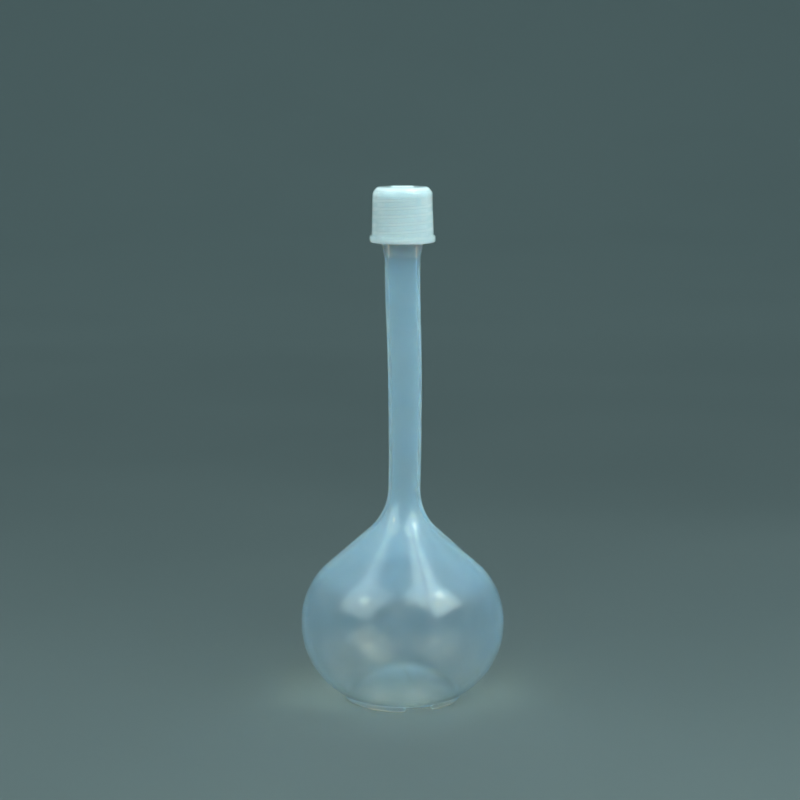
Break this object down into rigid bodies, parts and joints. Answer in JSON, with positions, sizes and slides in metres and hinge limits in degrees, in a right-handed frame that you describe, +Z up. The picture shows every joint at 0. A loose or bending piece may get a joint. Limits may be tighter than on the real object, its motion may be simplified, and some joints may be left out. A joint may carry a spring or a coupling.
{
  "type": "volumetric flask",
  "caption": "Translucent plastic volumetric flask: onion-shaped bulb on a notched foot ring, long slim neck and a screw cap with a grip rim.",
  "frame": {"origin": "centre of the foot ring on the bench plane", "axes": "+Z up the neck; the mould's parting plane is YZ, so the two notches in the foot ring and the seams face -Y and +Y, and -Y is the front"},
  "size_m": [0.1054, 0.1054, 0.2655],
  "materials": {
    "flask_body": "translucent milky fluoropolymer, smooth moulded surface",
    "screw_cap": "translucent milky fluoropolymer, smooth moulded surface",
    "cap_seal": "soft white disc"
  },
  "bodies": {
    "flask": {"flask_body": "flask_body"},
    "seal": {"cap_seal": "cap_seal"},
    "cap": {"screw_cap": "screw_cap"}
  },
  "joints": [
    {"name": "cap_lift", "type": "slide", "parent": "flask", "child": "seal", "axis": [0, 0, 1], "range_m": [0, 0.0405]},
    {"name": "cap_turn", "type": "hinge", "parent": "seal", "child": "cap", "pos_m": [0, 0, 0.25], "axis": [0, 0, 1], "range_deg": [0, 3600]}
  ],
  "couplings": [
    {"joint": "cap_lift", "follows": "cap_turn", "m_per_rad": 0.00063662}
  ]
}
